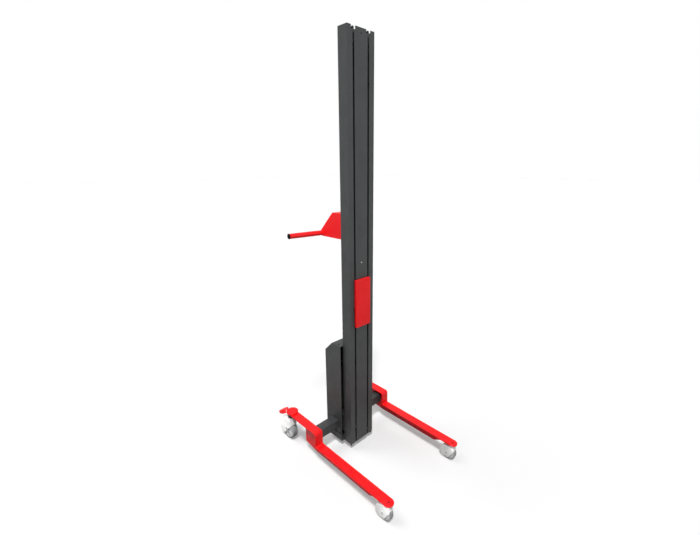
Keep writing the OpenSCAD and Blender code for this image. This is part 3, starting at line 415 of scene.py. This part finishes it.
def arc(middle, radius, start, stop, steps):
    """Points on an arc in a plane of two coordinates, with angles in degrees."""
    angles = [math.radians(start + (stop - start) * i / steps) for i in range(steps + 1)]
    return [(middle[0] + radius * math.cos(a), middle[1] + radius * math.sin(a)) for a in angles]


# Shapes of the fasteners' heads

def hexagon(flat):
    """Radius of a hexagon at an angle, for its distance from middle to flat."""
    def radius(angle):
        return flat / math.cos(math.radians((math.degrees(angle) + 30) % 60 - 30))
    return radius


def hex_bolt_shape(flat, height, shank, shank_l):
    """Bolt with a hexagon head whose corners are cut by the usual shallow cone, and a dished top."""
    side = hexagon(flat)
    crown = flat * 0.93
    rim = flat * 0.55
    dish = flat * 0.5
    dish_d = 0.2 * MM

    def cone(angle):
        return height - (side(angle) - crown) * math.tan(math.radians(30))
    return lathe("hex_bolt", [(shank, -shank_l), (shank, 0), (side, 0), (side, cone), (crown, height),
                              (rim, height), (dish, height - dish_d)])


def socket_screw_shape(radius, height, socket, depth, shank_l):
    """Round screw head with a hexagon socket."""
    shank = radius * 0.55
    crown = radius * 0.82
    wall_h = height * 0.55
    mouth = socket * 1.3
    mouth_d = 0.1 * MM
    hole = hexagon(socket)
    return lathe("socket_screw", [(shank, -shank_l), (shank, 0), (radius, 0), (radius, wall_h),
                                  (crown, height), (mouth, height), (hole, height - mouth_d),
                                  (hole, height - depth)])


def buffer_shape():
    """End stop with a waist and a round top."""
    radius = 5.8
    profile = [(5.2, 0), (5.2, 1.5), (4.5, 3), (radius, 5)] + arc((0, 7), radius, 0, 80, 8)
    return lathe("buffer", [(r * MM, z * MM) for r, z in profile], 32)


# Geometry node trees

def geometry_tree(name, inputs):
    """Starts a geometry node tree with a mesh input, the given labelled inputs and a mesh output."""
    tree = bpy.data.node_groups.new(name, "GeometryNodeTree")
    tree.interface.new_socket("Points", in_out="INPUT", socket_type="NodeSocketGeometry")
    for label, kind in inputs.items():
        tree.interface.new_socket(label, in_out="INPUT", socket_type="NodeSocket" + kind)
    tree.interface.new_socket("Mesh", in_out="OUTPUT", socket_type="NodeSocketGeometry")
    return tree_ends(tree)


def end_tree(net, given, out, placed):
    """Puts the instances in place, makes them real and gives them their finish."""
    instances = net.add("GeometryNodeInstanceOnPoints", placed).outputs[0]
    real = net.add("GeometryNodeRealizeInstances", {"Geometry": instances}).outputs[0]
    finish = {"Geometry": real, "Material": given["Finish"]}
    net.feed(out["Mesh"], net.add("GeometryNodeSetMaterial", finish).outputs[0])


def fastener_tree():
    """One head at each point, turned to the point's own direction and to a chance angle about it."""
    inputs = {"Shape": "Object", "Scale": "Float", "Seed": "Int", "Finish": "Material"}
    net, given, out = geometry_tree("fasteners", inputs)
    shape = net.add("GeometryNodeObjectInfo", {"Object": given["Shape"]}).outputs["Geometry"]
    facing = net.add("GeometryNodeInputNamedAttribute", {"Name": "facing"}, data_type="FLOAT_VECTOR")
    direction = {"Vector": facing.outputs[0]}
    upright = net.add("FunctionNodeAlignRotationToVector", direction, axis="Z").outputs[0]
    about_z = {"Axis": (0, 0, 1), "Angle": net.chance(0.0, math.tau, given["Seed"])}
    spin = net.add("FunctionNodeAxisAngleToRotation", about_z).outputs[0]
    both = {"Rotation": upright, "Rotate By": spin}
    turned = net.add("FunctionNodeRotateRotation", both, rotation_space="LOCAL").outputs[0]
    end_tree(net, given, out, {"Points": given["Points"], "Instance": shape, "Rotation": turned,
                               "Scale": given["Scale"]})
    return net.tree


def weld_tree():
    """Row of overlapping beads along each path, a little uneven as a hand-laid weld is."""
    inputs = {"Bead Radius": "Float", "Pitch": "Float", "Seed": "Int", "Finish": "Material"}
    net, given, out = geometry_tree("weld_beads", inputs)
    path = net.add("GeometryNodeMeshToCurve", {"Mesh": given["Points"]}).outputs[0]
    spaced = {"Curve": path, "Length": given["Pitch"]}
    steps = net.add("GeometryNodeResampleCurve", spaced, mode="LENGTH").outputs[0]
    ball = {"Radius": given["Bead Radius"], "Subdivisions": 2}
    bead = net.add("GeometryNodeMeshIcoSphere", ball).outputs[0]
    uneven = net.chance(0.88, 1.08, given["Seed"])
    end_tree(net, given, out, {"Points": steps, "Instance": bead, "Scale": uneven})
    return net.tree


def grown(name, mesh, tree, **values):
    """Runs a geometry node tree on a mesh and keeps the result as a plain mesh."""
    piece = link(mesh, name)
    maker = piece.modifiers.new("maker", "NODES")
    maker.node_group = tree
    sockets = {item.name: item.identifier for item in tree.interface.items_tree if item.in_out == "INPUT"}
    for keyword, value in values.items():
        maker[sockets[label_of(keyword)]] = value
    bake_mesh(piece)
    smoothed(piece.data, 25)
    return piece


# Places on the frame, in millimetres across from the middle, behind the mast's front and above its foot

MAST_H = 2000
LEG_X = 250.5

mast_low = Vector(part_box("mast_profile")[0])


def at(x, y, z):
    """Point in metres for such a place."""
    return Vector((x * MM, y * MM + mast_low.y, z * MM + mast_low.z))


def frame_bolt_places():
    """Bolts of the cross tube's bracket and of the handle's bracket, in the mast's rear wall."""
    tube_bolts = (45, 62.4, (53, 137))
    handle_bolts = (40, 60.4, (1146.5, 1212.5))
    return [(at(side * x, y, z), (0, 1, 0)) for side in SIDES
            for x, y, heights in (tube_bolts, handle_bolts) for z in heights]


def bracket_screw_places():
    """Screws in the upper bracket's side plates, heads inward, and in the housing's top."""
    bracket_h = 208
    shares = (0.05, 0.24, 0.4, 0.95)
    housing_top = 566
    places = []
    for side in SIDES:
        places += [(at(side * 74, 27, MAST_H - bracket_h * share), (-side, 0, 0)) for share in shares]
        places.append((at(side * 83, 83.4, housing_top), (0, 0, 1)))
    return places


def cover_screw_places(*heights):
    """Screws that lie flush in the cover between the slots."""
    return [(at(0, 0, z), (0, -1, 0)) for z in heights]


def buffer_places():
    """End stops on the upper bracket's tabs, in the notches at the mast's top, a little to the right."""
    tab_x = 44
    aside = 0.8
    below_top = 13.8
    return [(at(side * tab_x + aside, 6.2, MAST_H - below_top), (0, 0, 1)) for side in SIDES]


def tube_weld_paths():
    """Seams round the cross tube's ends, where it meets the webs of the legs."""
    half = 25.5
    web_face = 246.5
    tube_y = 110
    tube_z = 95
    corners = ((-half, -half), (half, -half), (half, half), (-half, half), (-half, -half))
    return [[at(side * web_face, tube_y + y, tube_z + z) for y, z in corners] for side in SIDES]


def bar_weld_paths():
    """Seams round the handlebar, where it passes through the bracket's cheeks."""
    cheek_x = 80.5
    bar_r = 12.7
    bar_middle = (195, 1132)
    return [[at(side * cheek_x, y, z) for y, z in arc(bar_middle, bar_r, 0, 360, 40)] for side in SIDES]


def leg_weld_paths():
    """Seams between a leg's web and the flat bar above it, on both faces of the web."""
    half_web = 3
    low_bar = ((-370, 60.4), (50, 60.4))
    high_bar = ((63, 72), (63, 126), (66, 132), (72, 135.3), (166, 135.3))
    return [[at(side * LEG_X + face * half_web, y, z) for y, z in path]
            for side in SIDES for face in SIDES for path in (low_bar, high_bar)]


# Fasteners and welds

def points_mesh(places):
    """Loose points that each carry the direction they face."""
    mesh = bpy.data.meshes.new("places")
    mesh.from_pydata([place for place, facing in places], [], [])
    data = mesh.attributes.new("facing", "FLOAT_VECTOR", "POINT").data
    for entry, (place, facing) in zip(data, places):
        entry.vector = facing
    return mesh


def paths_mesh(paths):
    """Edges along each path of points."""
    mesh = bpy.data.meshes.new("paths")
    spots = []
    edges = []
    for path in paths:
        edges += [(len(spots) + i, len(spots) + i + 1) for i in range(len(path) - 1)]
        spots += path
    mesh.from_pydata(spots, edges, [])
    return mesh


fasteners = fastener_tree()
weld_beads = weld_tree()


def fastened(name, shape_mesh, places, seed, look, slot_name, *replaced):
    shape = link(shape_mesh, name + "_shape")
    piece = grown(name, points_mesh(places), fasteners, shape=shape, scale=1.0, seed=seed,
                  finish=looks[look])
    bpy.data.objects.remove(shape)
    seat(piece, "chassis", slot_name, *replaced)


def welded(name, paths, radius, seed):
    piece = grown(name, paths_mesh(paths), weld_beads, bead_radius=radius * MM, pitch=radius * 0.9 * MM,
                  seed=seed, finish=looks["red_paint"])
    seat(piece, "chassis", "red_paint")


frame_bolt = hex_bolt_shape(flat=6.2 * MM, height=5.4 * MM, shank=4 * MM, shank_l=6 * MM)
bracket_screw = socket_screw_shape(4.5 * MM, 2 * MM, socket=1.6 * MM, depth=1.4 * MM, shank_l=3 * MM)
flush_screw = socket_screw_shape(3.4 * MM, 0.1 * MM, socket=1.4 * MM, depth=1.2 * MM, shank_l=2.9 * MM)

fastened("hex_bolts", frame_bolt, frame_bolt_places(), 3, "zinc_steel", "zinc_steel", "frame_bolts")
fastened("bracket_screws", bracket_screw, bracket_screw_places(), 4,
         "black_steel", "zinc_steel", "panel_screws")
fastened("flush_screw", flush_screw, cover_screw_places(1001), 6,
         "zinc_steel", "zinc_steel", "panel_screws")
fastened("dark_flush_screws", flush_screw.copy(), cover_screw_places(18, 1979), 7,
         "black_steel", "zinc_steel", "panel_screws")
fastened("notch_buffers", buffer_shape(), buffer_places(), 9, "black_plastic", "black_plastic")

welded("leg_welds", leg_weld_paths(), 2.2, 5)
welded("tube_welds", tube_weld_paths(), 2.0, 7)
welded("bar_welds", bar_weld_paths(), 1.6, 8)


# Tyres and crank grip

def along_x(mesh, start):
    """Lays a lathe mesh along X from the given point."""
    mesh.transform(Matrix.Translation(start) @ Matrix.Rotation(math.radians(90), 4, "Y"))
    return mesh


def box_of(node_name):
    low, high = (Vector(corner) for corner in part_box(node_name))
    return low, high, (low + high) / 2


def tyre_rings(radius, half_w):
    """Tyre section with round shoulders, a raised side ring and two fine grooves round the tread."""
    inner = radius * 0.84
    edge = half_w * 0.4
    lip = 0.35 * MM
    groove_r = radius - 0.8 * MM

    def side_of(sign):
        ring = [(inner, half_w - lip), (inner + 1 * MM, half_w - lip), (inner + 1.4 * MM, half_w)]
        shoulder = arc((radius - edge, half_w - edge), edge, 90, 0, 8)
        groove = [(radius, half_w * 0.42), (groove_r, half_w * 0.38), (groove_r, half_w * 0.3),
                  (radius, half_w * 0.26)]
        return [(r, sign * x) for r, x in ring + shoulder + groove]
    return side_of(1) + list(reversed(side_of(-1)))


def make_tyre(place):
    name = place + "_tyre"
    low, high, middle = box_of(name)
    rings = tyre_rings((high.z - low.z) / 2, (high.x - low.x) / 2)
    piece = link(along_x(lathe(name + "_moulded", rings, 96, True), middle), name + "_moulded")
    seat(piece, body_of[name], slot_of[name], name)


def grip_rings(radius, length):
    """Crank grip: shallow finger rings that fade at the rounded ends, around a free pin."""
    edge = 4 * MM
    bore = 5.1 * MM
    ring_d = 0.55 * MM
    ring_count = 7
    steps = 56
    body = []
    for i in range(1, steps):
        share = i / steps
        fade = min(1, 8 * share, 8 * (1 - share))
        ripple = ring_d * max(0, math.cos(share * ring_count * math.tau)) * fade
        body.append((radius - ripple, edge + (length - 2 * edge) * share))
    front = arc((radius - edge, edge), edge, -90, 0, 6)
    rear = arc((radius - edge, length - edge), edge, 0, 90, 6)
    return [(bore, 0)] + front + body + rear + [(bore, length)]


def make_grip():
    low, high, middle = box_of("crank_grip")
    rings = grip_rings((high.z - low.z) / 2, high.x - low.x)
    start = Vector((low.x, middle.y, middle.z))
    piece = link(along_x(lathe("grip_moulded", rings, 64, True), start), "grip_moulded")
    seat(piece, body_of["crank_grip"], slot_of["crank_grip"], "crank_grip")


# Brake pedals' covers, measured in millimetres along the pedal and square to it

PEDAL_ROOT = (332, 126)
PEDAL_SLOPE = math.radians(25)
COVER_START = 3.4
COVER_END = 70.2


def swell(along, start, length):
    """Rise from 0 to 1 with a soft start and end, from a start and over a length."""
    share = min(1, max(0, (along - start) / length))
    return share * share * (3 - 2 * share)


def round_rectangle(half_w, low, high, corner):
    """Points round a rectangle with round corners, as (x, height)."""
    middles = ((1, high - corner), (-1, high - corner), (-1, low + corner), (1, low + corner))
    spots = []
    for turn, (side, middle) in enumerate(middles):
        spots += arc((side * (half_w - corner), middle), corner, 90 * turn, 90 * turn + 90, 5)
    return spots


def pedal_section(along):
    """Half width, underside and top of the cover: a neck that widens to a ribbed tread with a round nose."""
    neck_half_w = 6.8
    tread_half_w = 21.7
    nose_l = 5
    rib_pitch = 4
    rib_d = 1.0
    tip = max(0, (along - COVER_END + nose_l) / nose_l)
    inset = nose_l * (1 - math.sqrt(1 - tip * tip))
    on_tread = swell(along, 36, rib_pitch) * (1 - swell(along, 62, rib_pitch))
    rib = rib_d / 2 * on_tread * (1 - math.cos(along * math.tau / rib_pitch))
    half_w = neck_half_w + (tread_half_w - neck_half_w) * swell(along, 10.6, 22) - inset
    low = -5 - 3.4 * swell(along, 0, 15) + 0.2 * inset
    high = 6.4 + 8 * swell(along, 0, 20) - 4 * swell(along, 40, 30) - rib - 0.8 * inset
    return half_w, low, high


def pedal_point(x, along, height):
    y, z = PEDAL_ROOT
    return at(x, y + along * math.cos(PEDAL_SLOPE) + height * math.sin(PEDAL_SLOPE),
              z - along * math.sin(PEDAL_SLOPE) + height * math.cos(PEDAL_SLOPE))


def make_pedal_cover(node_name, side):
    """Thick moulded tread over a brake pedal's neck and blade."""
    corner = 4.2
    steps = 90
    outlines = []
    for i in range(steps + 1):
        along = COVER_START + (COVER_END - COVER_START) * i / steps
        section = round_rectangle(*pedal_section(along), corner)
        outlines.append([pedal_point(side * LEG_X + x, along, height) for x, height in section])
    piece = link(skinned(node_name + "_cover", outlines), node_name + "_cover")
    seat(piece, body_of[node_name], slot_of[node_name])


for place in ("front_left", "front_right", "rear_left", "rear_right"):
    make_tyre(place)
make_grip()
make_pedal_cover("left_pedal", -1)
make_pedal_cover("right_pedal", 1)


# Edges rounded as on bent sheet, cut bar and mouldings, in millimetres

eased_widths = {
    "left_leg": 1.6, "right_leg": 1.6, "drive_housing": 1.0, "carriage_plate": 1.0, "handle_bracket": 0.6,
    "mast_profile": 0.8, "front_cover": 0.5, "cross_tube": 1.5, "left_pedal": 1.0, "right_pedal": 1.0,
    "crank_arm": 0.8, "tube_collars": 0.8, "foot_plate": 0.8, "rear_arm_caps": 0.8, "mast_bracket": 0.8,
    "front_left_hood": 0.8, "front_right_hood": 0.8, "rear_left_hood": 0.8, "rear_right_hood": 0.8,
    "front_left_core": 0.5, "front_right_core": 0.5, "rear_left_core": 0.6, "rear_right_core": 0.6,
    "top_bracket": 0.4, "handle_end_caps": 1.2, "belt_clamp": 0.8,
}
for name, width in eased_widths.items():
    make_eased(name, width * MM)


# Floor and backdrop

# Share of light the floor throws on to the object, and share it shows to the camera and in gloss
FLOOR_THROWS = 0.14
FLOOR_SHOWS = 0.65
# Light on the open floor, and what the open floor comes to for the camera, a little over white
OPEN_LIGHT = 1.19
OPEN_WHITE = 1.035
# Strength of the light from all round that falls on the object
AROUND = 0.16


def seen_ray(net):
    """One for rays from the camera and in gloss, which see the background as white, and otherwise zero."""
    path = net.add("ShaderNodeLightPath").outputs
    return net.math("MAXIMUM", path["Is Camera Ray"], path["Is Glossy Ray"])


def studio_white(name):
    """Grey floor that throws little light up, and shows as white except in the object's shadow."""
    material, net, shader = new_material(name)
    seen_from = seen_ray(net)
    tone = net.band(seen_from, 0.0, 1.0, FLOOR_THROWS, FLOOR_SHOWS)
    grey = net.add("ShaderNodeCombineColor", {0: tone, 1: tone, 2: tone}).outputs[0]
    net.feed(shader.inputs["Base Color"], grey)
    shader.inputs["Roughness"].default_value = 0.9
    shader.inputs["Specular IOR Level"].default_value = 0.0
    shader.inputs["Emission Color"].default_value = (1, 1, 1, 1)
    lift = OPEN_WHITE - FLOOR_SHOWS * OPEN_LIGHT
    net.feed(shader.inputs["Emission Strength"], net.math("MULTIPLY", seen_from, lift))
    return material


def make_floor():
    mesh = bpy.data.meshes.new("floor")
    half = 40.0
    corners = [(-half, -half, 0), (half, -half, 0), (half, half, 0), (-half, half, 0)]
    mesh.from_pydata(corners, [], [(0, 1, 2, 3)])
    mesh.materials.append(studio_white("studio_floor"))
    link(mesh, "floor")


def make_world():
    """Even pale light from all round, which the camera and gloss see as white."""
    world = bpy.data.worlds.new("studio")
    bpy.context.scene.world = world
    world.use_nodes = True
    net = Net(world.node_tree)
    background = world.node_tree.nodes["Background"].inputs
    net.feed(background["Strength"], net.band(seen_ray(net), 0.0, 1.0, AROUND, 1.0))
    background["Color"].default_value = (1, 1, 1, 1)


# Lamps and camera

RIGHTWARDS = (1, 0, 0)
BACKWARDS = (0, 1, 0)


def add_lamp(lamp, towards, place=(0, 0, 0)):
    """Puts a lamp at a place, shining along the given direction."""
    holder = link(lamp, lamp.name)
    holder.location = place
    holder.rotation_euler = Vector(towards).to_track_quat("-Z", "Y").to_euler()


def add_sun(name, towards, strength, disc):
    """Distant lamp whose disc is so many degrees wide."""
    lamp = bpy.data.lights.new(name, "SUN")
    lamp.energy = strength
    lamp.angle = math.radians(disc)
    add_lamp(lamp, towards)


def add_softbox(name, place, towards, size, spread, watts):
    """Flat lamp with a grid, so that it reaches little beside its own beam."""
    lamp = bpy.data.lights.new(name, "AREA")
    lamp.shape = "RECTANGLE"
    lamp.size, lamp.size_y = size
    lamp.spread = math.radians(spread)
    lamp.energy = watts
    add_lamp(lamp, towards, place)


def add_caster_light(name, y, watts):
    """Small low lamp from the left for the casters at one end."""
    add_softbox(name, (-1.0, y, 0.09), RIGHTWARDS, (0.16, 0.1), 14, watts)


def add_camera():
    """The photograph's own view, found from its straight edges."""
    photo_w = 700
    focal_px = 373.94
    middle_px = 362.2
    yaw = -44.70
    pitch = -15.39
    roll = -0.10
    data = bpy.data.cameras.new("photo_view")
    data.sensor_width = 36.0
    data.lens = focal_px / photo_w * data.sensor_width
    data.shift_x = (photo_w / 2 - middle_px) / photo_w
    camera = link(data, "photo_view")
    view = Matrix.Translation(at(-1225.3, -1242.6, 1455.8))
    for degrees, axis in ((yaw, "Z"), (90 + pitch, "X"), (roll, "Z")):
        view = view @ Matrix.Rotation(math.radians(degrees), 4, axis)
    camera.matrix_world = view
    bpy.context.scene.camera = camera


make_floor()
make_world()
add_sun("key_light", (0.32, 0.33, -0.888), 2.5, disc=8)
add_sun("right_fill", (-0.8, 0.35, -0.5), 0.2, disc=50)
add_sun("rear_fill", (0.3, -0.42, -0.86), 1.0, disc=30)
add_softbox("left_softbox", (-2.2, 0, 1.6), RIGHTWARDS, (1.4, 1.4), spread=40, watts=2.2)
add_softbox("front_softbox", (0, -2.6, 1.5), BACKWARDS, (1.4, 1.6), spread=40, watts=2.1)
add_caster_light("rear_caster_light", 0.40, 0.035)
add_caster_light("front_caster_light", -0.47, 0.065)
add_camera()
bpy.context.scene.view_settings.view_transform = "Standard"
